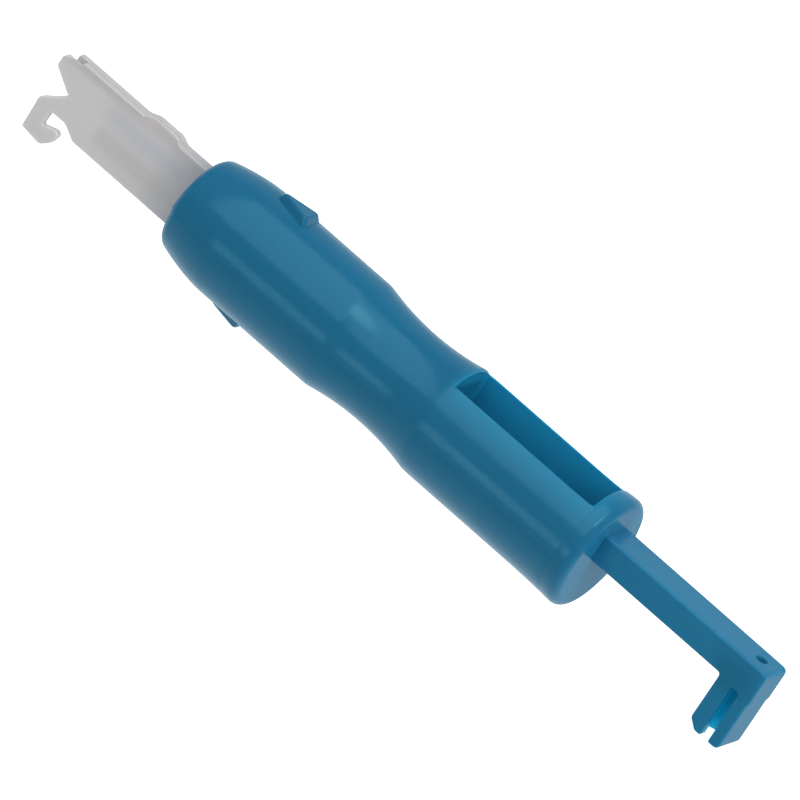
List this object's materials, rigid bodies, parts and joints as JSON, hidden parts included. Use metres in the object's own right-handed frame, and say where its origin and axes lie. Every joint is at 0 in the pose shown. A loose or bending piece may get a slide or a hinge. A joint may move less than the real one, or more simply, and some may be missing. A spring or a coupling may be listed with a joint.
{
  "type": "sewing machine needle inserter and threader",
  "caption": "Round waisted handle with a sprung flat threader tip at the front and a fixed L-shaped needle-inserter arm at the rear.",
  "frame": {"origin": "on the plane under the lowest face, which is the lower direction mark; below the middle of the tool's length; in the middle plane between the two tip plates", "axes": "+X along the tool from the threader tip to the inserter arm, +Z out of the handle's window, +Y away from the hook plate"},
  "size_m": [0.1012, 0.0138, 0.015],
  "materials": {
    "blue_plastic": "moulded, glossy",
    "milky_plastic": "translucent, satin",
    "spring_steel": "drawn wire"
  },
  "bodies": {
    "handle": {"upper_shell": "blue_plastic", "lower_shell": "blue_plastic", "inserter_end": "blue_plastic", "pin_carrier": "blue_plastic", "threading_pin": "spring_steel", "return_spring": "spring_steel"},
    "tip": {"hook_plate": "milky_plastic", "guide_plate": "milky_plastic"}
  },
  "joints": [
    {"name": "tip_slide", "type": "slide", "parent": "handle", "child": "tip", "axis": [1, 0, 0], "range_m": [0, 0.0045], "stiffness_N_per_m": 250, "springref_m": -0.002, "deforming": ["return_spring"]}
  ]
}
